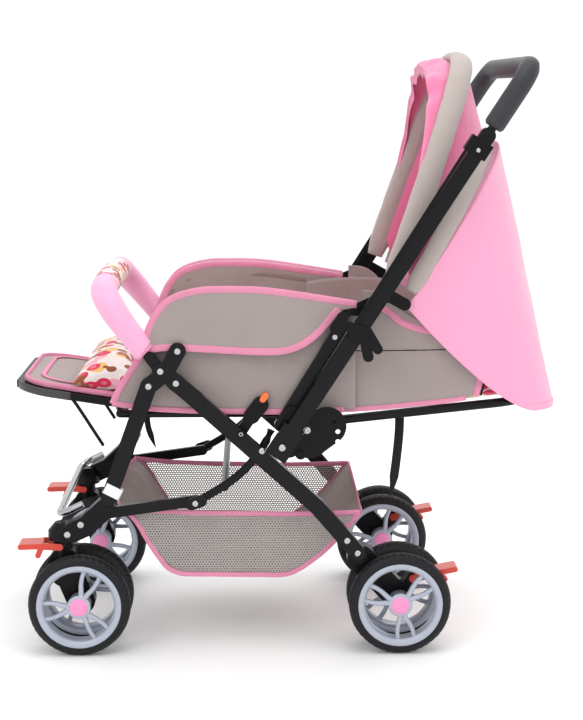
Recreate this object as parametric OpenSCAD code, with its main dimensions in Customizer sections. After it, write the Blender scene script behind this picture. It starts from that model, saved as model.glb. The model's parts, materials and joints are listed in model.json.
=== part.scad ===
// Folding pram with a reversible handle, eight twin wheels, a lie-flat seat,
// a hinged hood, a hinged footrest, a bumper bar and a basket.
// X is across (the child's left is +X), the front faces -Y, Z is up.

/* [Wheels] */
// Outside radius of a tyre
wheel_r = 82.5; // [78:0.5:84]
// Width of a tyre
tyre_w = 32; // [28:1:33]
// Distance between the front and the rear axles
wheelbase = 516; // [508:2:524]
// Sideways distance from the middle of the pram to the middle of a pair of wheels
track_half = 200; // [198:1:202]
// Sideways distance between the two wheels of a pair
twin_gap = 70; // [69:1:72]

/* [Frame] */
// Sideways distance from the middle of the pram to the middle of a leg
leg_x = 222; // [221:0.5:223]
// Width of the flattened leg tube, seen from the side
leg_w = 26; // [22:1:27]
// Thickness of the flattened leg tube
leg_t = 14; // [12:1:14]
// Diameter of the rivets' shanks
pin_d = 8; // [6:1:9]

/* [Handle] */
// Distance from the handle's pivot to the middle of its crossbar
handle_len = 710; // [709:1:720]
// Angle of the handle above the horizontal, at rest
handle_angle = 57; // [56:0.5:58]
// Sideways distance from the middle of the pram to a handle tube
handle_x = 238; // [238:0.5:240]
// Radius of the foam grip
grip_r = 16.5; // [14:0.5:17]

/* [Seat] */
// Height of the seat board above the ground
seat_z = 392; // [390:1:394]
// Half of the width between the fabric sides
side_x = 202; // [201:0.5:203]
// Length of the reclining backrest
backrest_len = 388; // [380:1:390]
// Rise of the backrest towards the back when it lies flat, in degrees
backrest_rise = 6; // [5:0.5:7]
// Length of the footrest
footrest_len = 176; // [160:1:180]

/* [Hood] */
// Reach of the front bow, from its hinge to the top of its sleeve
front_bow_reach = 404; // [380:1:404]
// Angle of the front bow above the horizontal, at rest
front_bow_angle = 71; // [70:0.5:72]
// Reach of the rear bow, from its foot to the top of its sleeve
rear_bow_reach = 300; // [290:1:304]
// Half of the width across the bows
hood_half = 219; // [214:1:220]

/* [Basket] */
// Half of the width of the basket
basket_half = 185; // [170:1:186]

/* [Hidden] */
$fn = 48;
fit = 0.05;            // radial clearance of a pin in its hole
left = 1;              // side signs: +X is the child's left
right = -1;

// Distance from mid-wheelbase to the middle of the whole length, so that the
// origin is under the middle of the object
mid_y = 78;

// Pivots and rivets, as [y, z] with y measured from mid-wheelbase
front_axle = [-wheelbase / 2, wheel_r];
rear_axle = [wheelbase / 2, wheel_r];
caster_y = front_axle[0] - 28;
hub_leg = [-143, 438];
hub_rear = [-99.6, 442.7];
hub_bumper = [-124, 462];
hub_arm = [-96.7, 494];
leg_foot = [-209, 256];
elbow_pin = [-228, 222];
link_pin = [-71.3, 243.8];
rear_pin = [36.1, 332.2];
lock_pin = [2.8, 360];
rear_bend = [124.3, 240];
rear_foot = [190, 163];
handle_pin = [68, 341];
recline_pin = [105, 362];
hood_pin = [237, 580];
rear_bow_foot = [262, 566];
tray_pin = [-192, 386];
brake_pin = [281, 117];
swivel_pin = [-290, 173.5];

// Sheet thicknesses
plate_t = 3;
cloth_t = 2.5;
side_plane = leg_x + leg_t / 2 + 0.5;   // inner face of the outer hub plates
rail_x = 188;                           // seat rails and backrest tubes
rail_r = 6.5;

// ---------- helpers ----------

function unit(a) = a / norm(a);
function polar(from, angle, r) = from + r * [cos(angle), sin(angle)];
function bezier(p, n) = [for (i = [0:n]) let (t = i / n, s = 1 - t)
    s * s * s * p[0] + 3 * s * s * t * p[1] + 3 * s * t * t * p[2] + t * t * t * p[3]];

// Moves a shape from the mid-wheelbase origin to the object's own origin
module placed() translate([0, -mid_y, 0]) children();

// Both sides at once
module both_sides() for (s = [left, right]) scale_x(s) children();
module scale_x(s) if (s == left) children(); else mirror([1, 0, 0]) children();

// A [y, z] outline made t thick, centred on x
module plate(x, t) translate([x - t / 2, 0, 0]) rotate([90, 0, 90]) linear_extrude(t) children();

// A pin along X between two x values at a [y, z] point
module pin(p, r, x0, x1) translate([x0, p[0], p[1]]) rotate([0, 90, 0]) cylinder(r = r, h = x1 - x0);

// A straight stroke with round ends, its sides a little inside the ends' tangents
module stroke(a, b, w) {
    d = b - a;
    side = 0.985 * w;
    translate(a) rotate(atan2(d[1], d[0])) translate([0, -side / 2]) square([norm(d), side]);
    translate(a) circle(d = w);
    translate(b) circle(d = w);
}
// A chain of strokes
module chain(pts, w) for (i = [0:len(pts) - 2]) stroke(pts[i], pts[i + 1], w);

// Round tube between two 3-D points
module rod(a, b, r) {
    d = b - a;
    translate(a) rotate([0, acos(d[2] / norm(d)), atan2(d[1], d[0])]) cylinder(r = r, h = norm(d));
}

// Tube swept along 3-D points, as one smooth mesh
module swept_tube(path, r, sides = 12) {
    n = len(path);
    function dir(i) = unit(path[min(i + 1, n - 1)] - path[max(i - 1, 0)]);
    function side_of(d) = unit(cross(abs(d[2]) > 0.9 ? [1, 0, 0] : [0, 0, 1], d));
    function ring(i) = let (d = dir(i), u = side_of(d), v = cross(d, u))
        [for (k = [0:sides - 1]) path[i] + r * (cos(360 * k / sides) * u + sin(360 * k / sides) * v)];
    points = [for (i = [0:n - 1]) each ring(i)];
    walls = [for (i = [0:n - 2], k = [0:sides - 1]) let (a = i * sides, b = a + sides, m = (k + 1) % sides)
        each [[a + k, b + k, b + m], [a + k, b + m, a + m]]];
    ends = [[for (k = [0:sides - 1]) k], [for (k = [sides - 1:-1:0]) (n - 1) * sides + k]];
    polyhedron(points, concat(walls, ends), convexity = 6);
}

// Closed sheet between an outer and an inner grid of points, rows by columns
module thick_sheet(outer, inner) {
    rows = len(outer);
    cols = len(outer[0]);
    half = rows * cols;
    points = concat([for (r = outer) each r], [for (r = inner) each r]);
    function id(r, c) = r * cols + c;
    skin = [for (r = [0:rows - 2], c = [0:cols - 2]) each [
        [id(r, c), id(r, c + 1), id(r + 1, c + 1)], [id(r, c), id(r + 1, c + 1), id(r + 1, c)],
        [half + id(r, c), half + id(r + 1, c + 1), half + id(r, c + 1)],
        [half + id(r, c), half + id(r + 1, c), half + id(r + 1, c + 1)]]];
    ends = [for (c = [0:cols - 2]) each [
        [id(0, c), half + id(0, c), half + id(0, c + 1)], [id(0, c), half + id(0, c + 1), id(0, c + 1)],
        [id(rows - 1, c), half + id(rows - 1, c + 1), half + id(rows - 1, c)],
        [id(rows - 1, c), id(rows - 1, c + 1), half + id(rows - 1, c + 1)]]];
    edges = [for (r = [0:rows - 2]) each [
        [id(r, 0), half + id(r + 1, 0), half + id(r, 0)], [id(r, 0), id(r + 1, 0), half + id(r + 1, 0)],
        [id(r, cols - 1), half + id(r, cols - 1), half + id(r + 1, cols - 1)],
        [id(r, cols - 1), half + id(r + 1, cols - 1), id(r + 1, cols - 1)]]];
    polyhedron(points, concat(skin, ends, edges), convexity = 6);
}

// U-shaped round tube in a plane: legs run back along -Y from the crossbar,
// which lies along X at the local origin. Bends have radius bend_r.
module u_bend(half_w, leg, bend_r, r) {
    rod([-half_w + bend_r, 0, 0], [half_w - bend_r, 0, 0], r);
    both_sides() {
        translate([half_w - bend_r, -bend_r, 0]) rotate_extrude(angle = 90) translate([bend_r, 0]) circle(r);
        rod([half_w, -bend_r, 0], [half_w, -leg, 0], r);
    }
}

// ---------- wheels ----------

module tyre() {
    color([0.09, 0.09, 0.1]) rotate([0, 90, 0]) rotate_extrude($fn = 96) difference() {
        union() {
            translate([62, -tyre_w / 2 + 2]) square([wheel_r - 72, tyre_w - 4]);
            translate([wheel_r - 10, -tyre_w / 2 + 10]) square([10, tyre_w - 20]);
            for (s = [-1, 1]) translate([wheel_r - 10, s * (tyre_w / 2 - 10)]) circle(10);
        }
        for (s = [-1, 1]) translate([wheel_r, s * 4.5]) circle(1.2, $fn = 16);
    }
}

module spoke_fork(turn) rotate(turn) for (s = [-1, 1]) {
    stroke([7 * s, 10], [s * 13, 36], 8);
    stroke([s * 13, 36], [s * 15, 54.5], 7);
}

module rim(outward) {
    color([0.68, 0.72, 0.8]) rotate([0, 90, 0]) difference() {
        union() {
            rotate_extrude($fn = 96) {
                translate([54, -13]) square([7.8, 26]);
                translate([58, -14.5]) square([3.8, 29]);
            }
            translate([0, 0, outward * 6 - 4]) linear_extrude(8) for (k = [0:2]) spoke_fork(120 * k + 60);
            cylinder(r = 18, h = 30, center = true);
            translate([0, 0, outward * 15]) cylinder(r = 17.3, h = 6, center = true);
        }
        translate([0, 0, outward * -20]) cylinder(r = pin_d / 2 + fit, h = 60, center = true, $fn = 48);
    }
}

// Puts a wheel part at an axle. side is left or right, out is +1 for the outer wheel of the pair
module at_wheel(axle, side, out) placed()
    translate([side * (track_half + out * twin_gap / 2), axle[0], axle[1]]) children();

// ---------- root: front frame ----------

module front_legs() placed() color([0.1, 0.1, 0.11]) both_sides() difference() {
    plate(leg_x, leg_t) stroke(hub_leg, leg_foot, leg_w);
    pin(hub_leg, pin_d / 2 + fit, leg_x - 20, leg_x + 20);
}

module hub_outline() {
    middle = (hub_leg + hub_rear + hub_bumper + hub_arm) / 4;
    for (p = [hub_leg, hub_rear, hub_bumper, hub_arm]) stroke(middle, p, 27);
    stroke(hub_leg, hub_leg + 0.16 * (leg_foot - hub_leg), 27);
    stroke(hub_rear, hub_rear + 0.3 * (lock_pin - hub_rear), 27);
}

module hub_plates() placed() color([0.12, 0.12, 0.13]) both_sides() {
    plate(side_plane + plate_t / 2, plate_t) hub_outline();
    for (p = [hub_leg, hub_rear, hub_bumper, hub_arm]) {
        pin(p, pin_d / 2, leg_x - leg_t / 2 - 0.5, side_plane);
        pin(p, 5.5, side_plane + plate_t, side_plane + plate_t + 2.5);
    }
}

module front_elbows() placed() color([0.1, 0.1, 0.11]) both_sides() difference() {
    union() {
        plate(leg_x - leg_t / 2, 2 * leg_t) chain([leg_foot + [-7, -18], [-246, 210], [-268, 200]], 33);
        pin(elbow_pin, pin_d / 2, 186, leg_x - leg_t - 6);
        pin(elbow_pin, 6.5, 186, 189.5);
        translate([track_half, caster_y, 183]) cylinder(r = 24, h = 15);
        translate([track_half, caster_y, 198]) cylinder(r1 = 24, r2 = 13, h = 13);
    }
    translate([track_half, caster_y, 180]) cylinder(r = 7 + fit, h = 22);
    plate(leg_x, leg_t + 1) stroke(hub_leg, leg_foot, leg_w + 0.6);
}

module front_cross_tube() placed() color([0.55, 0.56, 0.58])
    translate([0, -294, 219]) rotate([205, 0, 0]) u_bend(192, 44, 26, 6);

// Armrest tubes run inside the fabric sides, from the hub plates to the hood brackets
module armrest_tubes() placed() color([0.1, 0.1, 0.11]) both_sides() {
    path = concat([hub_arm], bezier([[-70, 526], [-30, 545], [90, 545], [188, 556]], 10));
    difference() {
        plate(213, 13) chain(path, 15);
        pin(hub_arm, pin_d / 2 + fit, 200, 230);
    }
}

module side_posts() placed() color([0.1, 0.1, 0.11]) both_sides() difference() {
    plate(213, 13) stroke([66, 372], [164, 532], 20);
    pin([75, 386], pin_d / 2 + fit, leg_x - 30, leg_x + 20);
}

module fan_plates() placed() color([0.11, 0.11, 0.12]) both_sides() {
    difference() {
        plate(leg_x + 0.5, 5) {
            stroke([80, 335], [112, 348], 30);
            stroke([112, 350], [140, 371], 62);
            stroke([80, 343], [84, 392], 26);
            stroke([98, 326], [98, 326.1], 18);
        }
        for (a = [-30:20:30])
            plate(leg_x + 0.5, 9) translate(polar([112, 354], a, 46)) circle(4, $fn = 24);
        pin(recline_pin, pin_d / 2 + fit, leg_x - 20, leg_x + 20);
    }
    pin(handle_pin + [4, 3], 3, leg_x + 3, leg_x + 3.5);
    pin([75, 386], pin_d / 2, 206, leg_x + 3);
    pin([98, 326], 6, leg_x + 3, leg_x + 7);
    pin(handle_pin, pin_d / 2, leg_x + 3, handle_x + leg_t / 2 + 1);
    pin(handle_pin, 6, handle_x + leg_t / 2 + 1, handle_x + leg_t / 2 + 3);
}

module canopy_brackets() placed() color([0.1, 0.1, 0.11]) both_sides() {
    plate(221.2, 2.6) {
        stroke([186, 558], hood_pin, 20);
        stroke(hood_pin, rear_bow_foot, 20);
    }
    pin(hood_pin, pin_d / 2, 206, 220);
}

module seat_frame_tubes() placed() color([0.1, 0.1, 0.11]) {
    for (y = [tray_pin[0], 84]) rod([-rail_x, y, tray_pin[1]], [rail_x, y, tray_pin[1]], rail_r);
    both_sides() {
        rod([rail_x, tray_pin[0], tray_pin[1]], [rail_x, 84, tray_pin[1]], rail_r);
        pin([-161, tray_pin[1]], 4, rail_x, leg_x - leg_t / 2);
        pin([84, tray_pin[1]], 4, rail_x, 206);
    }
}

module seat_board() placed() color([0.3, 0.28, 0.27])
    translate([0, -47, seat_z + 3.3]) cube([2 * rail_x, 258, 4], center = true);

// Upper edge of a fabric side, from front to back
side_top = concat(
    bezier([[-152, 486], [-142, 530], [-118, 572], [-64, 588]], 8),
    bezier([[-40, 592], [40, 590], [110, 578], [186, 566]], 8));
side_bottom = bezier([[186, 394], [60, 391], [-90, 389], [-203, 406]], 8);
flap_bottom = concat([[150, 552]],
    bezier([[132, 530], [104, 492], [70, 494], [-20, 498]], 8), [[-93, 504], [-138, 510]]);
function lowered(pts, d) = [for (i = [len(pts) - 1:-1:0]) pts[i] - [0, d]];

module seat_side(side) placed() color([0.7, 0.66, 0.62]) scale_x(side) {
    plate(side_x, cloth_t) polygon(concat(side_top, side_bottom));
    flap_top = [for (p = side_top) if (p[0] > -136 && p[0] < 170) p];
    plate(225, cloth_t) polygon(concat(flap_top, flap_bottom));
    plate(213.6, 23.5) polygon(concat(flap_top, lowered(flap_top, cloth_t)));
}
module seat_side_left() seat_side(left);
module seat_side_right() seat_side(right);

module seat_pad() placed() color([0.93, 0.8, 0.78])
    translate([-180, -196, seat_z + 5.5]) cube([360, 286, 26]);

module frame_rivets() placed() color([0.8, 0.8, 0.82]) both_sides() {
    pin([-254.5, 213.2], 5, leg_x + leg_t / 2, leg_x + leg_t / 2 + 2.5);
    pin([-276, 197], 5, 222 + leg_t / 2, 222 + leg_t / 2 + 2.5);
    pin([108, 365], 5.5, leg_x + 3, leg_x + 5.5);
    pin([152, 514], 4, 219.5, 222);
}

// ---------- hood ----------

// Arch in the plane of a bow: legs of half-width w that round over at reach r.
// Its points start at the reach "first", and lie closer together along the legs.
arch_n = 12;
function half_arch(w, r, first) = [for (i = [0:arch_n])
    let (a0 = asin(pow(first / r, 1 / 0.62)), t = i / arch_n, a = a0 + (90 - a0) * t * t)
    [w * pow(max(0, cos(a)), 0.62), r * pow(sin(a), 0.62)]];
function arch(w, r, first) = let (h = half_arch(w, r, first))
    concat(h, [for (i = [arch_n - 1:-1:0]) [-h[i][0], h[i][1]]]);
function on_bow(foot, angle, flat) = [for (p = flat)
    [p[0], foot[0] + p[1] * cos(angle), foot[1] + p[1] * sin(angle)]];
function mixed(a, b, t) = [for (i = [0:len(a) - 1]) (1 - t) * a[i] + t * b[i]];

rear_bow_angle = 60.5;

module bow(foot, angle, reach, first, r) {
    swept_tube(on_bow(foot, angle, arch(hood_half - r, reach - r, first)), r, 10);
}

module front_bow() placed() color([0.7, 0.66, 0.62]) {
    bow(hood_pin, front_bow_angle, front_bow_reach, 26, 12);
    both_sides() difference() {
        plate(210, 6) stroke(hood_pin, polar(hood_pin, front_bow_angle, 40), 18);
        pin(hood_pin, pin_d / 2 + fit, 200, 230);
    }
}

module rear_bow() placed() color([0.7, 0.66, 0.62])
    bow(rear_bow_foot, rear_bow_angle, rear_bow_reach, 24, 9);

// Fabric roof between the two bows
module canopy_roof() {
    function row(inset, t) = mixed(
        on_bow(rear_bow_foot, rear_bow_angle,
            arch(hood_half - 21 - inset, rear_bow_reach - 4 - inset, 40)),
        on_bow(hood_pin, front_bow_angle,
            arch(hood_half - 27 - inset, front_bow_reach - 14 - inset, 60)), t);
    rows = [0.16, 0.4, 0.6, 0.86];
    placed() color([1, 0.6, 0.8])
        thick_sheet([for (t = rows) row(0, t)], [for (t = rows) row(cloth_t, t)]);
}

// Brim that hangs in front of the front bow
module canopy_visor() {
    function row(inset, t) = on_bow(hood_pin + [-13, 4] + t * [-9, 5], front_bow_angle + 3 + 6 * t,
        arch(hood_half - 14 - inset, front_bow_reach - 26 - 10 * t - inset, 70));
    rows = [0.2, 0.6, 1];
    placed() color([1, 0.6, 0.8])
        thick_sheet([for (t = rows) row(cloth_t, t)], [for (t = rows) row(0, t)]);
}

// Back of the hood: from the rear bow down to the hem over the end of the backrest
hem_front = [268, 566];
hem_back = [521, 394];
module canopy_back() {
    top = arch(hood_half - 8, rear_bow_reach - 2, 30);
    last = len(top) - 1;
    // Points of the hem, spread evenly round a rounded rectangle seen from above
    function hem(inset) = [for (i = [0:last]) let (
        a = 180 * i / last,
        x = (hood_half - 8 - inset) * sign(cos(a)) * pow(abs(cos(a)), 0.3),
        y = hem_front[0] + (hem_back[0] - hem_front[0] - inset) * pow(abs(sin(a)), 0.55),
        rise = max(0, 1 - (y - hem_front[0]) / 170))
        [x, y, hem_back[1] + (hem_front[1] - hem_back[1]) * rise * rise]];
    function row(inset, t) = mixed(
        on_bow(rear_bow_foot + [9, -4], rear_bow_angle - 2.4,
            arch(hood_half - 8 - inset, rear_bow_reach - 2 - inset, 30)),
        hem(inset), t);
    rows = [0, 0.12, 0.25, 0.4, 0.6, 0.8, 1];
    placed() color([1, 0.6, 0.8])
        thick_sheet([for (t = rows) row(cloth_t, t)], [for (t = rows) row(0, t)]);
}

// ---------- rear frame, link bars and basket ----------

module rear_legs() placed() color([0.1, 0.1, 0.11]) both_sides() difference() {
    plate(leg_x, leg_t) chain([hub_rear, rear_bend, rear_foot], leg_w);
    for (p = [hub_rear, rear_pin, lock_pin]) pin(p, pin_d / 2 + fit, leg_x - 20, leg_x + 20);
}

module rear_housings() placed() color([0.1, 0.1, 0.11]) both_sides() difference() {
    union() {
        plate(track_half, 28) {
            stroke([196, 150], rear_axle, 44);
            stroke(rear_axle, brake_pin, 20);
        }
        plate(leg_x - leg_t, 28) stroke(rear_foot + [2, -3], rear_foot + [4, -8], 24);
    }
    pin(rear_axle, pin_d / 2, track_half - 30, track_half + 30);
    pin(brake_pin, 3 + fit, track_half - 30, track_half + 30);
    plate(leg_x, leg_t + 1) stroke(rear_bend, rear_foot, leg_w + 0.6);
}

module axle(at, side, end_gap) placed() scale_x(side) {
    span = twin_gap / 2 + tyre_w / 2;
    pin(at, pin_d / 2, track_half - span + end_gap, track_half + span - end_gap);
}
module rear_axles() color([0.7, 0.7, 0.72]) for (s = [left, right]) axle(rear_axle, s, 7);

module link_bars() placed() color([0.1, 0.1, 0.11]) both_sides() difference() {
    plate(194.75, 9) stroke(elbow_pin, link_pin, 18);
    pin(elbow_pin, pin_d / 2 + fit, 180, 205);
    plate(191, 6) stroke(elbow_pin + [22, 3], link_pin - [16, 2.2], 9);
}

// A bent tube on each side, from the rear leg forward to the link bar, joined by a cross tube
module link_tube() placed() color([0.1, 0.1, 0.11]) {
    x = 207.5;
    bend = bezier([[x, 36.1, 332.2], [x, 12, 296], [x, -10, 276], [x, -71.3, 243.8]], 8);
    both_sides() {
        swept_tube(concat([[x, 51, 362], [x, 44, 346]], bend), 6.7, 12);
        plate(215.75, 2.5) stroke(link_pin + [-6, -1], link_pin + [9, 4], 20);
    }
    swept_tube([[-x, -24, 268], [0, -24, 268], [x, -24, 268]], 6, 12);
}

basket_path = [[-196, 230], [-170, 212], [-146, 170], [-106, 121], [82, 116], [147, 165], [196, 220]];
module basket() placed() color([0.8, 0.72, 0.72]) {
    plate(0, 2 * basket_half) chain(basket_path, cloth_t);
    both_sides() plate(basket_half - cloth_t / 2, cloth_t) polygon(concat(basket_path, [[100, 217], [-60, 221]]));
}

// ---------- casters and levers ----------

module caster_fork(side) {
    placed() color([0.1, 0.1, 0.11]) scale_x(side) difference() {
        union() {
            plate(track_half, 28) {
                stroke([caster_y + 6, 138], front_axle, 46);
                stroke([caster_y + 2, 146], [caster_y + 4, 130], 50);
            }
            translate([track_half, caster_y, 150]) cylinder(r = 15.5, h = 32);
            translate([track_half, caster_y, 182]) cylinder(r = 7, h = 18);
        }
        pin(swivel_pin, 3 + fit, track_half - 30, track_half + 30);
        translate([track_half - 30, caster_y - 40, 158]) cube([60, 17, 40]);
    }
    color([0.7, 0.7, 0.72]) axle(front_axle, side, 7);
}
module caster_fork_left() caster_fork(left);
module caster_fork_right() caster_fork(right);

module swivel_lock(side) placed() color([0.94, 0.32, 0.2]) scale_x(side) {
    for (x = [-18.4, 18.4]) plate(track_half + x, 4) stroke(swivel_pin, [-318, 175], 11);
    plate(track_half, 40.8) {
        stroke([-320, 175], [-353, 174], 9);
        stroke([-320, 173], [-325, 160], 9);
    }
    pin(swivel_pin, 3, track_half - 20, track_half + 20);
}
module swivel_lock_left() swivel_lock(left);
module swivel_lock_right() swivel_lock(right);

module brake_lever(side) placed() color([0.94, 0.32, 0.2]) scale_x(side) {
    for (x = [-16.2, 16.2]) plate(track_half + x, 3.4) stroke(brake_pin, [304, 123], 13);
    plate(track_half, 35.8) {
        stroke([307, 124], [349, 132], 9);
        stroke([322, 126], [333, 116], 8);
    }
    pin(brake_pin, 3, track_half - 17, track_half + 17);
}
module brake_lever_left() brake_lever(left);
module brake_lever_right() brake_lever(right);

// ---------- handle ----------

// Places children so that local +Y runs up the handle from its pivot
module along_handle() placed() translate([0, handle_pin[0], handle_pin[1]]) rotate([handle_angle, 0, 0]) children();
handle_bend = 42;
grip_start = handle_len - 112;
bar_top = grip_start - 14;

module handle_tube() color([0.1, 0.1, 0.11]) along_handle() {
    both_sides() difference() {
        union() {
            plate(handle_x, leg_t) {
                stroke([0, 0], [bar_top, 0], 25);
                translate([-20, -18]) square([56, 36]);
            }
        }
        pin([0, 0], pin_d / 2 + fit, handle_x - 20, handle_x + 20);
    }
    translate([0, handle_len, 0]) u_bend(handle_x, handle_len - bar_top, handle_bend, 6.8);
}

module handle_grip() color([0.27, 0.28, 0.31]) along_handle() difference() {
    translate([0, handle_len, 0]) u_bend(handle_x, handle_len - grip_start, handle_bend, grip_r);
    translate([0, handle_len, 0]) u_bend(handle_x, handle_len - grip_start + 10, handle_bend, 7.2);
}

// Hooks, thin rods and finger collars that slide up the handle to free it
module latch_hooks() color([0.13, 0.13, 0.14]) along_handle() both_sides() {
    x = handle_x + leg_t / 2 + 2.5;
    difference() {
        plate(x, 3.4) {
            stroke([212, 26], [222, -12], 26);
            stroke([206, 34], [226, 34], 18);
            stroke([216, -14], [196, -34], 17);
            stroke([228, -12], [214, -40], 16);
        }
        plate(x, 6) stroke([184, 16], [205, 16], 13);
    }
    plate(x, 3.4) stroke([228, 12], [560, 17], 5);
    difference() {
        plate(handle_x + 1, leg_t + 6) translate([548, -17]) square([26, 38]);
        plate(handle_x, leg_t + 0.8) translate([540, -13]) square([40, 26]);
    }
}

// ---------- backrest ----------

module along_backrest() placed() translate([0, recline_pin[0], recline_pin[1]]) rotate([backrest_rise, 0, 0]) children();
tube_z = 6;      // the tube lies this far above the recline pin's plane
back_x = 185;    // from the middle of the pram to each of its legs

module backrest_tube() color([0.12, 0.12, 0.13]) along_backrest() {
    translate([0, backrest_len, tube_z]) u_bend(back_x, backrest_len + 6, 78, 7.5);
    both_sides() pin([0, 0], pin_d / 2, back_x, leg_x + 3);
}

module backrest_pad() color([0.93, 0.8, 0.78]) along_backrest()
    translate([-168, 42, tube_z + 8]) cube([336, backrest_len - 68, 24]);

module backrest_wings() placed() color([0.7, 0.66, 0.62]) both_sides()
    plate(192.6, cloth_t) polygon(concat([[122, 388]],
        [[122, 560]], bezier([[196, 560], [236, 552], [262, 526], [330, 517]], 6),
        bezier([[352, 508], [382, 480], [390, 440], [378, 412]], 6), [[240, 396]]));

// ---------- footrest ----------

module along_footrest() placed() translate([0, tray_pin[0], tray_pin[1]]) rotate([-9, 0, 0]) children();

module tray_outline(inset) {
    w = 160 - inset;
    far = footrest_len - inset;
    translate([-w, -far + 60]) square([2 * w, far - 60 - 9]);
    translate([-w + 60, -far]) square([2 * w - 120, 62]);
    for (s = [-1, 1]) translate([s * (w - 60), -far + 60]) circle(59.6);
}

module footrest_tray() color([0.1, 0.1, 0.11]) along_footrest() {
    translate([0, 0, 4]) linear_extrude(12) tray_outline(0);
    for (x = [-120, 0, 120]) difference() {
        plate(x, 30) {
            circle(rail_r + 4);
            translate([-40, 1]) square([38, 9]);
        }
        pin([0, 0], rail_r + fit, x - 20, x + 20);
    }
    for (x = [-118, 118]) plate(x, 5) chain([[-92, 6], [-76, -10], [-62, -26], [-24, -70]], 5);
}

module footrest_pad() color([0.7, 0.66, 0.62]) along_footrest()
    translate([0, 0, 16.2]) linear_extrude(9) tray_outline(9);

// ---------- bumper bar ----------

// Upper bar's line, from the hub's rivet forward and across
bumper_x = 223;
function bumper_line(from) = let (a = polar(hub_bumper, 128, from), s = bumper_x)
    concat(bezier([[s, a[0], a[1]], [s, -176, 528], [s, -202, 560], [s - 40, -214, 580]], 8),
        bezier([[s - 62, -216, 584], [s - 100, -218, 586], [80, -218, 586], [0, -218, 586]], 5));
function mirrored(path) = concat(path, [for (i = [len(path) - 2:-1:0]) [-path[i][0], path[i][1], path[i][2]]]);

module bumper_tube() placed() color([0.1, 0.1, 0.11]) both_sides() difference() {
    plate(leg_x, leg_t) stroke(hub_bumper, polar(hub_bumper, 128, 28), 18);
    pin(hub_bumper, pin_d / 2 + fit, leg_x - 20, leg_x + 20);
}

module bumper_sleeve() placed() color([1, 0.62, 0.75]) swept_tube(mirrored(bumper_line(40)), 18.5, 14);

// ---------- fold lock ----------

module fold_lock_lever() placed() color([0.1, 0.1, 0.11]) difference() {
    union() {
        plate(209.5, 9) {
            stroke(lock_pin, [20, 386], 18);
            stroke([20, 386], [34, 404], 26);
        }
        pin(lock_pin, pin_d / 2, 209.5, 232);
        pin(lock_pin, 6, 229.3, 232);
    }
    plate(209.5, 20) stroke([36, 410], [50, 430], 11);
}

module fold_lock_button() placed() color([1, 0.4, 0.1]) plate(209.5, 9) stroke([38, 413], [42, 419], 10);

front_legs();
hub_plates();
front_elbows();
front_cross_tube();
armrest_tubes();
side_posts();
fan_plates();
canopy_brackets();
seat_board();
seat_frame_tubes();
seat_side_left();
seat_side_right();
seat_pad();
rear_bow();
canopy_back();
frame_rivets();
rear_legs();
rear_housings();
rear_axles();
link_bars();
link_tube();
basket();
caster_fork_left();
caster_fork_right();
at_wheel(front_axle, left, 1) tyre();  // tyre_front_left_outer
at_wheel(front_axle, left, -1) tyre();  // tyre_front_left_inner
at_wheel(front_axle, right, 1) tyre();  // tyre_front_right_outer
at_wheel(front_axle, right, -1) tyre();  // tyre_front_right_inner
at_wheel(rear_axle, left, 1) tyre();  // tyre_rear_left_outer
at_wheel(rear_axle, left, -1) tyre();  // tyre_rear_left_inner
at_wheel(rear_axle, right, 1) tyre();  // tyre_rear_right_outer
at_wheel(rear_axle, right, -1) tyre();  // tyre_rear_right_inner
at_wheel(front_axle, left, 1) rim(1);  // rim_front_left_outer
at_wheel(front_axle, left, -1) rim(-1);  // rim_front_left_inner
at_wheel(front_axle, right, 1) rim(-1);  // rim_front_right_outer
at_wheel(front_axle, right, -1) rim(1);  // rim_front_right_inner
at_wheel(rear_axle, left, 1) rim(1);  // rim_rear_left_outer
at_wheel(rear_axle, left, -1) rim(-1);  // rim_rear_left_inner
at_wheel(rear_axle, right, 1) rim(-1);  // rim_rear_right_outer
at_wheel(rear_axle, right, -1) rim(1);  // rim_rear_right_inner
swivel_lock_left();
swivel_lock_right();
brake_lever_left();
brake_lever_right();
handle_tube();
handle_grip();
latch_hooks();
backrest_tube();
backrest_pad();
backrest_wings();
front_bow();
canopy_roof();
canopy_visor();
footrest_tray();
footrest_pad();
bumper_tube();
bumper_sleeve();
fold_lock_lever();
fold_lock_button();
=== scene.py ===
import json
import math

import bmesh
import bpy
from mathutils import Matrix, Vector, noise

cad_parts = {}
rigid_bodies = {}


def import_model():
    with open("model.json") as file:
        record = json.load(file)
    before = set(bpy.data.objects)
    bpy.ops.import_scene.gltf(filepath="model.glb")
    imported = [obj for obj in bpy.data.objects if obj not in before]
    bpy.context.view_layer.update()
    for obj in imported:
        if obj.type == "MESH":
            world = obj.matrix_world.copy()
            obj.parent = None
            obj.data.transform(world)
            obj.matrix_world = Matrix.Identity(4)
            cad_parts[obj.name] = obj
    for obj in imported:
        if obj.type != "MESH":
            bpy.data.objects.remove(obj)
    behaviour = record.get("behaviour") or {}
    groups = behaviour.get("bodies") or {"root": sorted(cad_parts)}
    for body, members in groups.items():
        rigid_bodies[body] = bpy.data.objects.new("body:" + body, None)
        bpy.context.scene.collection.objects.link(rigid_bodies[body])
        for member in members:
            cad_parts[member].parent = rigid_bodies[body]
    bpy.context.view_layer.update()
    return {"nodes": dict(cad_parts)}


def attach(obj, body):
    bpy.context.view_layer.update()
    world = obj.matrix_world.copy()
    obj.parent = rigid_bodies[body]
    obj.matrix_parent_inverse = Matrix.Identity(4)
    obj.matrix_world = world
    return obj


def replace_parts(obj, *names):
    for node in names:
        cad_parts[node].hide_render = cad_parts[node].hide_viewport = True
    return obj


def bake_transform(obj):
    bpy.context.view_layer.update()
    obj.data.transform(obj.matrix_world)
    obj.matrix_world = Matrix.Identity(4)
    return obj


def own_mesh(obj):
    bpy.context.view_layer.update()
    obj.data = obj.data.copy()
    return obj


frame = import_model()
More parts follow.
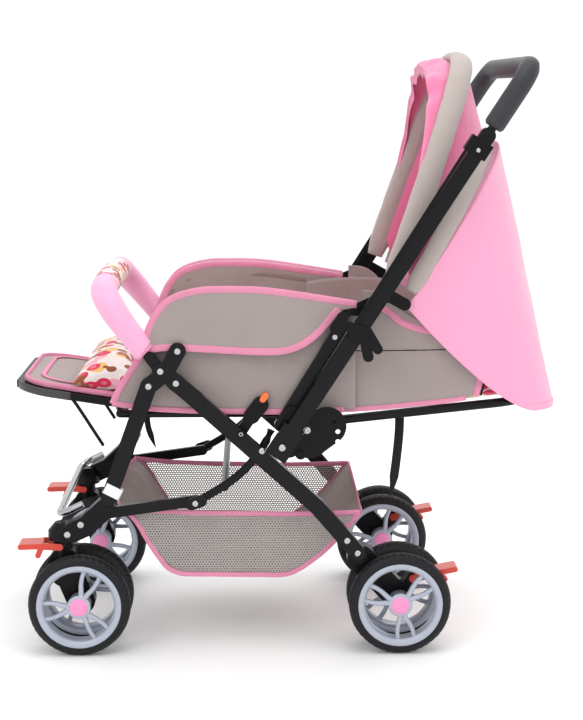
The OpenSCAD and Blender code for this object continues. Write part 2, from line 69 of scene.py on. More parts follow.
NODES = frame["nodes"]
MID_Y = 78.0
SIDES = (1, -1)
HANDS = ((1, "left"), (-1, "right"))
MM = 0.001


def at(x, y, z):
    return Vector((x, y - MID_Y, z)) * MM


# ---------------------------------------------------------------- camera
YAW, PITCH = math.radians(1.279), math.radians(9.078)
cam_data = bpy.data.cameras.new("camera")
cam = bpy.data.objects.new("camera", cam_data)
bpy.context.collection.objects.link(cam)
cam_data.sensor_width = 36
cam_data.lens = 85.1
cam_data.clip_start, cam_data.clip_end = 0.05, 40
cam.location = (2.88458, -0.05413, 0.90344)
cam_dir = Vector((-math.cos(YAW) * math.cos(PITCH), math.sin(YAW) * math.cos(PITCH), -math.sin(PITCH)))
cam.rotation_mode = "QUATERNION"
cam.rotation_quaternion = cam_dir.to_track_quat("-Z", "Y")
bpy.context.scene.camera = cam

# ---------------------------------------------------------------- materials


class Nodes:
    """Short names for building one material's nodes."""

    def __init__(self, name, colour, rough, **sockets):
        self.m = bpy.data.materials.new(name)
        self.m.use_nodes = True
        self.t = self.m.node_tree
        self.shader = next(n for n in self.t.nodes if n.type == "BSDF_PRINCIPLED")
        self.set(self.shader, Base_Color=(*colour, 1), Roughness=rough, **sockets)
        self.m.diffuse_color = (*colour, 1)
        self.place = self.add("ShaderNodeTexCoord").outputs["Object"]

    def add(self, kind, **props):
        n = self.t.nodes.new(kind)
        for k, v in props.items():
            setattr(n, k, v)
        return n

    def set(self, node, **values):
        for k, v in values.items():
            s = node.inputs[k.replace("_", " ")]
            if isinstance(v, bpy.types.NodeSocket):
                self.t.links.new(v, s)
            else:
                s.default_value = v
        return node

    def noise(self, scale, detail=3.0, rough=0.5, place=None):
        n = self.add("ShaderNodeTexNoise")
        self.set(n, Vector=place or self.place, Scale=scale, Detail=detail, Roughness=rough)
        return n.outputs["Fac"]

    def ramp(self, fac, stops):
        n = self.add("ShaderNodeValToRGB")
        while len(n.color_ramp.elements) < len(stops):
            n.color_ramp.elements.new(0.5)
        for e, (p, c) in zip(n.color_ramp.elements, stops):
            e.position = p
            e.color = (*c, 1) if len(c) == 3 else c
        self.t.links.new(fac, n.inputs["Fac"])
        return n.outputs["Color"]

    def math(self, op, a, b=0.0):
        n = self.add("ShaderNodeMath", operation=op)
        for i, v in enumerate((a, b)):
            if isinstance(v, bpy.types.NodeSocket):
                self.t.links.new(v, n.inputs[i])
            else:
                n.inputs[i].default_value = v
        return n.outputs[0]

    def mix(self, fac, a, b):
        n = self.add("ShaderNodeMix", data_type="RGBA")
        for i, v in ((0, fac), (6, a), (7, b)):
            if isinstance(v, bpy.types.NodeSocket):
                self.t.links.new(v, n.inputs[i])
            else:
                n.inputs[i].default_value = (*v, 1) if i else v
        return n.outputs[2]

    def waves(self, scale, axes="XYZ"):
        total = None
        for a in axes:
            n = self.add("ShaderNodeTexWave", bands_direction=a)
            self.set(n, Vector=self.place, Scale=scale, Distortion=0.6, Detail=1.0)
            total = n.outputs["Fac"] if total is None else self.math("ADD", total, n.outputs["Fac"])
        return total

    def bump(self, height, distance, strength=1.0, below=None):
        n = self.add("ShaderNodeBump")
        self.set(n, Height=height, Distance=distance, Strength=strength)
        if below is not None:
            self.t.links.new(below, n.inputs["Normal"])
        return n.outputs["Normal"]

    def normal(self, socket):
        self.t.links.new(socket, self.shader.inputs["Normal"])


def shade(colour, k):
    return tuple(min(1.0, max(0.0, c * k)) for c in colour)


def cloth(name, colour, dark=0.9, weave=330, sheen=0.25, soft=14, rough=0.85, tint=None, blotch=7):
    n = Nodes(name, colour, rough, Sheen_Weight=sheen, Sheen_Roughness=0.45, Specular_IOR_Level=0.25)
    base = n.ramp(n.noise(blotch, 4), [(0.35, shade(colour, dark)), (0.65, tint or colour)])
    thread = n.noise(900, 2)
    n.set(n.shader, Base_Color=n.mix(n.math("MULTIPLY", thread, 0.16), base, shade(colour, 0.62)))
    folds = n.bump(n.noise(soft, 5, 0.55), 0.006, 0.6)
    n.normal(n.bump(n.waves(weave), 0.00025, 0.55, folds))
    return n.m


def plastic(name, colour, rough, grain=900, coat=0.0, depth=0.00012, metal=0.0, wear=0.08, spec=0.5):
    n = Nodes(name, colour, rough, Coat_Weight=coat, Coat_Roughness=0.12, Metallic=metal,
              Specular_IOR_Level=spec)
    speck = n.noise(60, 6, 0.6)
    n.set(n.shader, Base_Color=n.mix(n.math("MULTIPLY", speck, wear), colour, shade(colour, 1.8)))
    n.set(n.shader, Roughness=n.math("ADD", rough - 0.08, n.math("MULTIPLY", n.noise(25, 5), 0.16)))
    n.normal(n.bump(n.noise(grain, 2), depth, 0.5))
    return n.m


def painted(name, colour, rough, edge=0.0012):
    """Painted steel tube: rounded edges that catch the light, and a thin clear coat."""
    n = Nodes(name, colour, rough, Coat_Weight=0.05, Coat_Roughness=0.05, Specular_IOR_Level=0.14)
    n.set(n.shader, Roughness=n.math("ADD", rough - 0.05, n.math("MULTIPLY", n.noise(18, 6), 0.12)))
    wear = n.math("MULTIPLY", n.noise(140, 6, 0.7), 0.08)
    n.set(n.shader, Base_Color=n.mix(wear, colour, (0.08, 0.08, 0.085)))
    bevel = n.add("ShaderNodeBevel", samples=4)
    bevel.inputs["Radius"].default_value = edge
    n.normal(n.bump(n.noise(320, 2), 0.00006, 0.35, bevel.outputs["Normal"]))
    return n.m


def steel(name, colour, rough, brushed=40):
    n = Nodes(name, colour, rough, Metallic=1.0)
    n.set(n.shader, Roughness=n.math("ADD", rough - 0.06, n.math("MULTIPLY", n.noise(brushed, 6, 0.7), 0.16)))
    n.normal(n.bump(n.noise(500, 3), 0.00005, 0.4))
    return n.m


def leaf_print(name, ground, colours, size):
    """A generic print of loose rounded petals in warm colours on a pale cloth."""
    n = Nodes(name, ground, 0.82, Sheen_Weight=0.25, Sheen_Roughness=0.45, Specular_IOR_Level=0.25)
    colour = n.mix(n.math("MULTIPLY", n.noise(600, 2), 0.12), ground, shade(ground, 0.75))
    for i, (c, reach) in enumerate(colours):
        shift = n.add("ShaderNodeMapping")
        n.set(shift, Vector=n.place, Location=(0.37 * i, 0.61 * i, 0.23 * i),
              Rotation=(0.5 * i, 0.8 * i, 0.4 * i), Scale=(1.0, 0.72, 1.0))
        v = n.add("ShaderNodeTexVoronoi", feature="SMOOTH_F1")
        n.set(v, Vector=shift.outputs[0], Scale=size * (1 + 0.13 * i), Smoothness=0.25, Randomness=0.85)
        inside = n.math("LESS_THAN", v.outputs["Distance"], reach)
        ring = n.math("LESS_THAN", v.outputs["Distance"], reach * 0.45)
        colour = n.mix(inside, colour, c)
        colour = n.mix(n.math("MULTIPLY", ring, 0.2), colour, ground)
    n.set(n.shader, Base_Color=colour)
    n.normal(n.bump(n.waves(330), 0.00025, 0.5, n.bump(n.noise(16, 4), 0.003, 0.4)))
    return n.m


TAUPE, PINK, BINDING = (0.4, 0.34, 0.325), (0.98, 0.41, 0.62), (0.9, 0.33, 0.5)
M = {
    "black": painted("black_painted_steel", (0.004, 0.004, 0.005), 0.2),
    "black_plastic": plastic("black_plastic", (0.005, 0.005, 0.006), 0.34, grain=1500, depth=0.0001,
                             spec=0.15),
    "chrome": steel("chrome_rivets", (0.5, 0.5, 0.52), 0.16),
    # Silver metal for the front cross tube, which is black painted steel: a painted reflection of the light on
    # its gloss paint
    "painted_reflection": steel("cross_tube_painted_reflection", (0.42, 0.43, 0.45), 0.2),
    "taupe": cloth("taupe_cloth", TAUPE, 0.9, sheen=0.3),
    "sleeve": cloth("taupe_bow_sleeve", (0.5, 0.43, 0.405), 0.92, sheen=0.3, soft=22),
    "pink": cloth("pink_hood_cloth", PINK, 0.97, sheen=0.75, soft=6, rough=0.75, weave=420, blotch=3),
    # The hood's pink made darker and hotter: painted shade standing for the shadow and the light through the
    # thin cloth under the hood
    "visor": cloth("pink_visor_cloth_painted_shade", (0.93, 0.24, 0.44), 0.82, sheen=0.55, soft=18, rough=0.7, weave=420),
    "pink_sleeve": cloth("pink_sleeve_cloth", (0.97, 0.46, 0.69), 0.95, sheen=0.45, soft=20),
    "binding": cloth("pink_binding", BINDING, 0.88, weave=700, sheen=0.2, soft=60),
    "print": leaf_print("printed_cloth", (0.86, 0.8, 0.76),
                        [((0.86, 0.55, 0.16), 0.36), ((0.9, 0.42, 0.52), 0.33),
                         ((0.72, 0.03, 0.1), 0.36), ((0.3, 0.09, 0.04), 0.3)], 30),
    "mesh": cloth("basket_mesh_thread", (0.5, 0.46, 0.44), 0.94, weave=1200, sheen=0.2, soft=60, blotch=20),
    "tyre": plastic("tyre_rubber", (0.008, 0.008, 0.01), 0.5, grain=700, depth=0.0002, wear=0.4, spec=0.25),
    "rim": plastic("silver_rim_plastic", (0.4, 0.43, 0.51), 0.36, grain=1200, coat=0.25, metal=0.25),
    "cap": plastic("pink_hub_cap", (0.85, 0.27, 0.52), 0.4, grain=900, coat=0.2),
    "lever": plastic("orange_red_lever", (0.62, 0.035, 0.013), 0.34, grain=900, coat=0.3),
    "orange": plastic("orange_button", (0.95, 0.16, 0.02), 0.35, coat=0.3),
    "foam": plastic("charcoal_foam_grip", (0.02, 0.021, 0.026), 0.6, grain=420, depth=0.0006, wear=0.25),
    "webbing": cloth("black_webbing", (0.018, 0.018, 0.02), 0.7, weave=900, sheen=0.1, soft=40),
    "board": plastic("hardboard", (0.2, 0.15, 0.11), 0.7, grain=300, depth=0.0003, wear=0.4),
    "wrap": plastic("white_foam_wrap", (0.8, 0.81, 0.83), 0.5, grain=200, depth=0.0008),
    "tray_edge": plastic("grey_tray_edge", (0.035, 0.035, 0.038), 0.4, grain=800),
}

# ---------------------------------------------------------------- shapes


def evenly(line, n):
    """n points evenly spaced along a line of many short steps."""
    run = [0.0]
    for a, b in zip(line, line[1:]):
        run.append(run[-1] + (b - a).length)
    out, j = [], 0
    for i in range(n):
        s = run[-1] * i / (n - 1)
        while j < len(run) - 2 and run[j + 1] < s:
            j += 1
        f = (s - run[j]) / max(run[j + 1] - run[j], 1e-9)
        out.append(line[j].lerp(line[j + 1], min(max(f, 0), 1)))
    return out


def smooth_path(points, n):
    """n points evenly spaced on a smooth curve through the given points."""
    p = [Vector(q) for q in points]
    p = [p[0] * 2 - p[1]] + p + [p[-1] * 2 - p[-2]]
    fine = []
    for i in range(1, len(p) - 2):
        a, b, c, d = p[i - 1:i + 3]
        for k in range(24):
            t = k / 24
            fine.append(0.5 * (2 * b + (c - a) * t + (2 * a - 5 * b + 4 * c - d) * t * t
                               + (3 * b - a - 3 * c + d) * t ** 3))
    return evenly(fine + [p[-2]], n)


def bezier(p, n):
    a, b, c, d = (Vector(q) for q in p)
    return [(1 - t) ** 3 * a + 3 * (1 - t) ** 2 * t * b + 3 * (1 - t) * t * t * c + t ** 3 * d
            for t in (i / n for i in range(n + 1))]


def piece(name, verts, faces, material, body=None, smooth=True):
    mesh = bpy.data.meshes.new(name)
    mesh.from_pydata([tuple(v) for v in verts], [], faces)
    mesh.validate()
    mesh.polygons.foreach_set("use_smooth", [smooth] * len(mesh.polygons))
    mesh.materials.append(M[material])
    ob = bpy.data.objects.new(name, mesh)
    bpy.context.collection.objects.link(ob)
    if body:
        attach(ob, body)
    return ob


def mend(ob, weld=0.0, outside=True):
    """Joins points closer than weld, in metres, and turns the faces outward."""
    bm = bmesh.new()
    bm.from_mesh(ob.data)
    if weld:
        bmesh.ops.remove_doubles(bm, verts=bm.verts, dist=weld)
    if outside:
        bmesh.ops.recalc_face_normals(bm, faces=bm.faces)
    bm.to_mesh(ob.data)
    bm.free()
    return ob


def wrap_faces(base, rings, n):
    """Faces round a tube of rings of n points each, the first point being number base."""
    return [(base + i * n + k, base + i * n + (k + 1) % n,
             base + (i + 1) * n + (k + 1) % n, base + (i + 1) * n + k)
            for i in range(rings - 1) for k in range(n)]


def end_faces(base, rings, n):
    last = base + (rings - 1) * n
    return [tuple(range(base + n - 1, base - 1, -1)), tuple(range(last, last + n))]


def rounded(value, power):
    """Squares off a sine or cosine, keeping its sign."""
    return math.copysign(abs(value) ** power, value)


def subdivide(ob, levels=1):
    m = ob.modifiers.new("subdivision", "SUBSURF")
    m.levels = m.render_levels = levels
    return ob


def thicken(ob, thick):
    m = ob.modifiers.new("thickness", "SOLIDIFY")
    m.thickness, m.offset = thick, 0
    return ob


def grid(name, rows, material, body=None):
    """A sheet through rows of points, all of one length."""
    w = len(rows[0])
    faces = [(i * w + j, i * w + j + 1, (i + 1) * w + j + 1, (i + 1) * w + j)
             for i in range(len(rows) - 1) for j in range(w - 1)]
    return piece(name, [v for r in rows for v in r], faces, material, body)


def frames_on(path, up):
    """Tangent and two sideways directions at each point, carried along without twist."""
    out, side = [], None
    for i in range(len(path)):
        t = (path[min(i + 1, len(path) - 1)] - path[max(i - 1, 0)]).normalized()
        side = (Vector(up).cross(t) if side is None else side - t * side.dot(t)).normalized()
        out.append((t, side, t.cross(side)))
    return out


def sweep(name, path, section, material, body=None, up=(0, 0, 1), closed=True, fixed=False):
    """A tube along path. section(s, a) gives sideways and upward offsets at the share s and the angle a."""
    n = section(0.5, None)
    verts = []
    for i, (p, (t, u, v)) in enumerate(zip(path, frames_on(path, up))):
        if fixed:
            u = Vector(up).cross(t).normalized()
            v = t.cross(u)
        s = i / (len(path) - 1)
        for k in range(n):
            du, dv = section(s, 2 * math.pi * k / n)
            verts.append(p + u * du + v * dv)
    faces = wrap_faces(0, len(path), n)
    if closed:
        faces += end_faces(0, len(path), n)
    return mend(piece(name, verts, faces, material, body))


def oval(ru, rv, n=12, rough=0.0, scale=60.0, power=1.0):
    """A section for sweep: an oval, squared off by power under 1, and optionally wrinkled."""

    def section(s, a):
        if a is None:
            return n
        k = 1.0
        if rough:
            k += rough * noise.noise(Vector((s * scale, math.cos(a) * 1.7, math.sin(a) * 1.7)))
        return ru * k * rounded(math.cos(a), power), rv * k * rounded(math.sin(a), power)

    return section


def binding(name, points, n, body, width=8.0, thick=3.0, up=(1, 0, 0), material="binding"):
    """Folded tape along an edge: width in the sheet's plane, thick across it."""
    return sweep(name, smooth_path(points, n), oval(width / 2000, thick / 2000, 12, 0.06, n / 3, power=0.75),
                 material, body, up, fixed=True)


def lathe(name, profile, material, steps=96, shift=None):
    """Rings about the X axis through (x, radius) points; shift(x, r, a) moves a point's radius."""
    verts, n = [], len(profile)
    for i in range(steps):
        a = 2 * math.pi * i / steps
        for x, r in profile:
            q = r + (shift(x, r, a) if shift else 0)
            verts.append(Vector((x, q * math.cos(a), q * math.sin(a))) * MM)
    faces = [(i * n + j, i * n + (j + 1) % n, ((i + 1) % steps) * n + (j + 1) % n, ((i + 1) % steps) * n + j)
             for i in range(steps) for j in range(n)]
    return mend(piece(name, verts, faces, material))


def declare(ob):
    """Returns the sheet as it is."""
    return ob


def measured(ob, rows):
    """Keeps the sheet's flat size: its longest row, its longest column and its area."""
    length = lambda line: sum((b - a).length for a, b in zip(line, line[1:]))
    wide = max(length(r) for r in rows)
    tall = max(length([r[j] for r in rows]) for j in range(0, len(rows[0]), 4))
    area = sum(p.area for p in ob.data.polygons)
    ob["flat"] = [round(wide, 3), round(tall, 3)]
    ob["area"] = area
    return ob


def sheet(name, rows, material, body, thick=1.6):
    """A cloth through rows of points, thick in millimetres, and measured."""
    ob = thicken(grid(name, rows, material, body), thick * MM)
    return declare(measured(ob, rows))


def ripple(p, seed=0.0):
    return noise.noise(Vector((p[0] + seed, p[1], p[2])))


def settled(ob):
    """ob's mesh with its modifiers applied."""
    bpy.context.view_layer.update()
    mesh = bpy.data.meshes.new_from_object(ob.evaluated_get(bpy.context.evaluated_depsgraph_get()))
    mesh.name = ob.name
    mesh.polygons.foreach_set("use_smooth", [True] * len(mesh.polygons))
    ob.modifiers.clear()
    return mesh


def puffed(ob, voxel, cap, pressure=4.0):
    """Inflates a closed mesh a little with a short cloth simulation, and applies the result."""
    m = ob.modifiers.new("remesh", "REMESH")
    m.mode, m.voxel_size = "VOXEL", voxel
    ob.data = settled(ob)
    start = [v.co.copy() for v in ob.data.vertices]
    c = ob.modifiers.new("cloth", "CLOTH").settings
    c.use_pressure = True
    c.uniform_pressure_force = pressure
    c.effector_weights.gravity = 0
    c.quality = 5
    scene = bpy.context.scene
    for f in range(1, 21):
        scene.frame_set(f)
    blown = settled(ob)
    for v, s in zip(blown.vertices, start):
        d = v.co - s
        if d.length > cap:
            v.co = s + d * (cap / d.length)
    ob.data = blown
    scene.frame_set(1)
    return ob


# ---------------------------------------------------------------- finish of the CAD parts
FINISH = {
    "black": ["front_legs", "armrest_tubes", "side_posts", "rear_legs", "link_bars", "link_tube",
              "handle_tube", "seat_frame_tubes", "bumper_tube", "hub_plates", "backrest_tube"],
    "black_plastic": ["front_elbows", "fan_plates", "canopy_brackets", "rear_housings", "caster_fork_left",
                      "caster_fork_right", "latch_hooks", "footrest_tray", "fold_lock_lever"],
    "chrome": ["frame_rivets", "rear_axles"],
    # painted reflection: the black front cross tube shown as silver metal
    "painted_reflection": ["front_cross_tube"],
    "lever": ["swivel_lock_left", "swivel_lock_right", "brake_lever_left", "brake_lever_right"],
    "orange": ["fold_lock_button"],
    "board": ["seat_board"],
}
for finish, names in FINISH.items():
    for name in names:
        mesh = NODES[name].data
        mesh.materials.clear()
        mesh.materials.append(M[finish])

# ---------------------------------------------------------------- wheels
WHEEL_R = 82.5


def tread(x, r, a):
    """Slanting cuts on both shoulders and a fine groove beside the middle."""
    if r < 70:
        return 0.0
    turn = (a / (2 * math.pi) * 46 + abs(x) * 0.11) % 1.0
    cut = -1.7 if turn < 0.24 and abs(x) > 3.2 and r > 72 else 0.0
    return cut + 0.12 * math.sin(a * 9)


def tyre_profile():
    half = [(0, 82.5), (1.6, 82.5), (2.8, 82.3), (3.4, 81.3), (4.4, 81.3), (5.0, 82.2), (7.4, 81.8),
            (9.6, 80.9), (11.6, 79.3), (13.4, 77.0), (14.8, 74.2), (15.7, 71.2), (15.9, 68.6), (15.5, 66.4), (15.7, 65.2),
            (15.3, 63.6), (14.2, 62.6)]
    return [(-x, r) for x, r in reversed(half[1:])] + half


RIM_RING = [(-16.5, 62.5), (-17.0, 65.4), (-16.8, 67.6), (-16.2, 68.0), (-15.6, 65.8), (-13.6, 61.4), (0, 60.0),
            (13.6, 61.4), (15.6, 65.8), (16.2, 68.0), (16.8, 67.6), (17.0, 65.4), (16.5, 62.5), (15.0, 59.6),
            (12.6, 57.4), (9.0, 56.2), (0, 55.4), (-9.0, 56.2), (-12.6, 57.4), (-15.0, 59.6)]


def bar(verts, faces, path, width, deep, tilt):
    """A rounded spoke arm through (radius, sideways, x) points, added to verts and faces."""
    base, n = len(verts), 8
    for i, p in enumerate(path):
        a, b = path[max(i - 1, 0)], path[min(i + 1, len(path) - 1)]
        t = (Vector(b) - Vector(a)).normalized()
        u = Vector((-t.y, t.x, 0)).normalized()
        w = width(i / (len(path) - 1))
        for k in range(n):
            q = 2 * math.pi * (k + 0.5) / n
            du = rounded(math.cos(q), 0.6) * w / 2
            dz = rounded(math.sin(q), 0.6) * deep / 2
            o = Vector(p) + u * du + Vector((0, 0, dz))
            c, s = math.cos(tilt), math.sin(tilt)
            verts.append(Vector((o.z, o.x * c - o.y * s, o.x * s + o.y * c)) * MM)
    faces += wrap_faces(base, len(path), n) + end_faces(base, len(path), n)


def make_rim():
    verts, faces = [], []
    for k in range(3):
        for s in (1, -1):
            line = smooth_path([(10, 1.5 * s, 12.5), (22, 4.5 * s, 12), (34, 9.5 * s, 11), (46, 12.5 * s, 9.5),
                                (58, 13.2 * s, 8.5)], 14)
            bar(verts, faces, line, lambda t: 9.6 - 2.4 * min(1, t * 1.8), 8.0, math.radians(180 + 120 * k))
    ring = lathe("ring", RIM_RING, "rim")
    hub = lathe("hub", [(-15, 4.3), (-15, 15.5), (-13.5, 17.6), (10, 17.9), (14.5, 19.4), (16.8, 18.6),
                        (17.6, 16.4), (17.6, 4.3)], "rim", 72)
    arms = mend(piece("arms", verts, faces, "rim"))
    bm = bmesh.new()
    for part in (ring, hub, arms):
        bm.from_mesh(part.data)
        bpy.data.objects.remove(part)
    mesh = bpy.data.meshes.new("rim")
    bm.to_mesh(mesh)
    bm.free()
    mesh.materials.append(M["rim"])
    mesh.polygons.foreach_set("use_smooth", [True] * len(mesh.polygons))
    return mesh


def loose(ob):
    """ob's mesh on its own, for use by several objects."""
    mesh = ob.data
    bpy.data.objects.remove(ob)
    return mesh


tyre_mesh = loose(lathe("tyre_shape", tyre_profile(), "tyre", 368, tread))
cap_mesh = loose(lathe("cap_shape", [(17.7, 0.02), (20.9, 0.02), (20.8, 3), (20.3, 8), (19.3, 12), (18.2, 14.2),
                                     (17.2, 14.6), (16.4, 14.6), (16.4, 0.02)], "cap", 64))
rim_mesh = make_rim()


def put(name, mesh, matrix, body, *replaced):
    ob = bpy.data.objects.new(name, mesh)
    ob.matrix_world = matrix
    bpy.context.collection.objects.link(ob)
    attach(ob, body)
    if replaced:
        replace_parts(ob, *replaced)
    return ob


for end, y in (("front", -258), ("rear", 258)):
    for hand, s in (("left", 1), ("right", -1)):
        for place, out in (("outer", 1), ("inner", -1)):
            name = f"{end}_{hand}_{place}"
            face = s * out
            spin = {"front": 8, "rear": -20}[end] + 9 * (place == "inner") + 14 * (s < 0)
            hub = Matrix.Translation(at(s * (200 + out * 35), y, WHEEL_R))
            turn = Matrix.Rotation(math.pi if face < 0 else 0, 4, "Z")
            m = hub @ Matrix.Rotation(math.radians(spin), 4, "X") @ turn
            put(f"tread_{name}", tyre_mesh, hub @ turn, f"wheel_{name}", f"tyre_{name}")
            put(f"spokes_{name}", rim_mesh, m, f"wheel_{name}", f"rim_{name}")
            put(f"hub_cap_{name}", cap_mesh, m, f"wheel_{name}")

# ---------------------------------------------------------------- rivets
def rivets(name, body, places, r, high):
    """Domed rivet heads at (x, y, z), each facing outward along X."""
    verts, faces, n = [], [], 20
    for x, y, z in places:
        s = 1 if x > 0 else -1
        rings = [(r, 0), (r, 0.9), (r * 0.93, high * 0.55), (r * 0.72, high * 0.85), (r * 0.4, high),
                 (r * 0.3, high * 0.8)]
        base = len(verts)
        for q, h in rings:
            for k in range(n):
                a = 2 * math.pi * k / n
                verts.append(at(x + s * h, y + q * math.cos(a), z + q * math.sin(a)))
        faces += wrap_faces(base, len(rings), n) + end_faces(base, len(rings), n)
    return mend(piece(name, verts, faces, "chrome", body))


rivets("hub_rivets", "frame", [(s * x, y, z) for s in SIDES for x, y, z in (
    (232.6, -143, 438), (232.6, -99.6, 442.7), (232.6, -124, 462), (232.6, -96.7, 494), (225.2, 98, 326),
    (247.1, 68, 341), (225.2, 108, 365))], 5.9, 3.4)
rivets("elbow_rivets", "frame", [(s * 229.2, y, z) for s in SIDES for y, z in (
    (-254.5, 213.2), (-276, 197))], 5.4, 3.2)
rivets("rear_leg_rivets", "rear_frame", [(s * 229.1, y, z) for s in SIDES for y, z in (
    (36.1, 332.2), (2.8, 360), (173, 184), (190, 163))], 5.4, 3.2)
rivets("link_rivets", "link_tube", [(s * 217.1, -71.3, 243.8) for s in SIDES], 5.2, 3.0)
rivets("latch_rivets", "latches", [(s * (238 + 11.2), *q) for s in SIDES for q in (
    (68 + 560 * math.cos(math.radians(57)) - 2, 341 + 560 * math.sin(math.radians(57)) - 2),)], 3.4, 2.0)

# ---------------------------------------------------------------- fabric sides of the seat
SIDE_TOP = [(-152, 486), (-150, 500), (-143, 524), (-129, 552), (-106, 575), (-64, 588), (-20, 590), (40, 588),
            (100, 580), (150, 572), (186, 566)]
SIDE_LOW = [(-203, 406), (-150, 398), (-90, 394), (-20, 392), (60, 391), (120, 392), (186, 395)]
FLAP_LOW = [(-148, 494), (-120, 499), (-80, 498), (-30, 495), (30, 492), (70, 493), (100, 503), (124, 521),
            (142, 542), (158, 560)]


def smooth_yz(points, n):
    return smooth_path([(0, y, z) for y, z in points], n)


def fabric_side(s, hand):
    n = 64
    top = smooth_yz(SIDE_TOP, n)
    low = smooth_yz(SIDE_LOW, n)
    # The inner panel, slack between its bound edges, so it bellies out a little
    rows = []
    for i in range(25):
        t = i / 24
        row = []
        for j in range(n):
            p = top[j].lerp(low[j], t)
            u = j / (n - 1)
            edge = min(1, u * 7, (1 - u) * 7) * min(1, t * 4, (1 - t) * 4)
            belly = 3.2 * math.sin(math.pi * t) * edge
            wave = (2.6 * ripple((p.y * 0.016, p.z * 0.022, s), 3)
                    + 1.7 * ripple((p.y * 0.05, p.z * 0.03, s), 9))
            row.append(at(s * (202.5 + belly + wave * edge), p.y, p.z))
        rows.append(row)
    inner = sheet(f"side_panel_{hand}", rows, "taupe", "frame", 1.8)
    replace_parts(inner, f"seat_side_{hand}")
    # The cover over the armrest tube: up from the panel, over the tube, and down outside it
    flap = smooth_yz(FLAP_LOW, n)
    rows = []
    across = [(203.2, -20), (203.0, -8), (204.0, 0.5), (208.0, 4.4), (214.5, 5.4), (221.0, 3.2),
              (224.0, -2.0)]
    for x, dz in across:
        rows.append([at(s * x, p.y, p.z + dz - 3) for p in top])
    for i in range(1, 17):
        t = i / 16
        row = []
        for j in range(n):
            p = Vector((0, top[j].y, top[j].z - 5)).lerp(flap[j], t)
            u = j / (n - 1)
            edge = min(1, u * 8, (1 - u) * 5)
            belly = 1.6 * math.sin(math.pi * min(1, t * 0.98)) * edge
            wave = (0.7 * ripple((p.y * 0.02, p.z * 0.03, s), 21)
                    + 0.7 * math.exp(-((u - 0.08) / 0.09) ** 2) * math.sin(p.z * 0.5) * t) * edge
            row.append(at(s * (224.0 + belly + wave), p.y, p.z))
        rows.append(row)
    sheet(f"arm_cover_{hand}", rows, "taupe", "frame", 1.8)
    # Bound edges
    front = ((-151, 494), (-158, 478), (-176, 452), (-193, 424), (-202, 405))
    for name, line, n, width, thick in (
            ("top", [at(s * 222.6, p.y, p.z + 0.5) for p in top[::3]], 90, 11.5, 6.4),
            ("top_inner", [at(s * 203.4, p.y, p.z - 2.5) for p in top[::3]], 90, 11.5, 5.0),
            ("flap", [at(s * 225.4, p.y, p.z) for p in flap[::3]], 90, 11.5, 2.8),
            ("front", [at(s * 203.2, *q) for q in front], 40, 11.5, 5.0),
            ("bottom", [at(s * 203.4, p.y, p.z) for p in low[::4]], 80, 9.5, 5.4)):
        binding(f"{name}_binding_{hand}", line, n, "frame", width, thick)


for s, hand in HANDS:
    fabric_side(s, hand)

# ---------------------------------------------------------------- cushions
def slanted(y, z, degrees):
    """A function that places points given in a part's own directions: across, along from (y, z), and up."""
    c, q = math.cos(math.radians(degrees)), math.sin(math.radians(degrees))

    def place(x, u, v=0.0):
        return at(x, y + u * c - v * q, z + u * q + v * c)

    return place


back = slanted(105, 362, 6)
tray = slanted(-192, 386, -9)
handle = slanted(68, 341, 57)


def pad(name, half, y0, y1, z0, z1, to, material, crown, pull=5.0, nx=36, ny=30, grooves=(), puff=None):
    """A closed pad: half(y) wide, with sides that pull in, a crowned top and sewn channels across it."""
    verts, faces = [], []
    mid = (z0 + z1) / 2
    for top in (1, -1):
        for i in range(ny + 1):
            v = -math.cos(math.pi * i / ny)
            for j in range(nx + 1):
                u = -math.cos(math.pi * j / nx)
                y = (y0 + y1) / 2 + (y1 - y0) / 2 * v
                x = half(y) * u - math.copysign(pull * (1 - v * v) * u * u, u)
                y -= math.copysign(pull * (1 - u * u) * v * v, v)
                e = ((1 - abs(u) ** 3.2) * (1 - abs(v) ** 3.2)) ** 0.42
                if top > 0:
                    z = mid + (z1 - mid) * e + crown * (1 - u * u) * (1 - v * v)
                    z -= sum(5.0 * e * math.exp(-((y - g) / 4.0) ** 2) for g in grooves)
                else:
                    z = mid + (z0 - mid) * e
                verts.append(to(x, y, z))
    w, size = nx + 1, (nx + 1) * (ny + 1)
    for i in range(ny):
        for j in range(nx):
            a = i * w + j
            faces += [(a, a + 1, a + w + 1, a + w), (size + a, size + a + w, size + a + w + 1, size + a + 1)]
    ob = mend(piece(name, verts, faces, material), 0.00001)
    return puffed(ob, *puff) if puff else ob


cushion = pad("seat_cushion", lambda y: 178, -172, 88, 399, 424, at, "print", 3, grooves=(-92, -2),
              puff=(0.005, 0.006))
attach(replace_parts(cushion, "seat_pad"), "frame")
subdivide(cushion)


def front_roll(x, y, z):
    """The liner's plump front end, resting on the footrest."""
    k = (-166 - y) / 106
    low = 403 + 0.17 * max(0.0, -190 - y) + 1.5
    return at(x, y, low + z * (486 - 42 * k * k - low))


roll = pad("seat_front_roll", lambda y: 165, -272, -166, 0, 0.86, front_roll, "print", 0.1, 9.0,
           puff=(0.005, 0.006))
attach(roll, "frame")
subdivide(roll)
rest = pad("backrest_cushion", lambda y: 165, 45, 360, 9.5, 31, back, "print", 3, grooves=(130, 236),
           puff=(0.005, 0.005))
liner = [[at(x, y, z + 1.5 * math.sin(x * 0.05) * math.sin(y * 0.1)) for x in range(-150, 151, 10)]
         for y, z in ((74, 419), (88, 415), (102, 407), (118, 400), (134, 396), (150, 396), (166, 402))]
gap = grid("liner_fold", liner, "print")
measured(gap, liner)
thicken(gap, 0.0015)
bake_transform(gap)
declare(gap)
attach(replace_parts(rest, "backrest_pad"), "backrest")
subdivide(rest)


def tray_half(w, far, corner):
    def half(y):
        k = max(0.0, -far + corner - y)
        return w - corner + math.sqrt(max(corner * corner - k * k, 0))
    return half


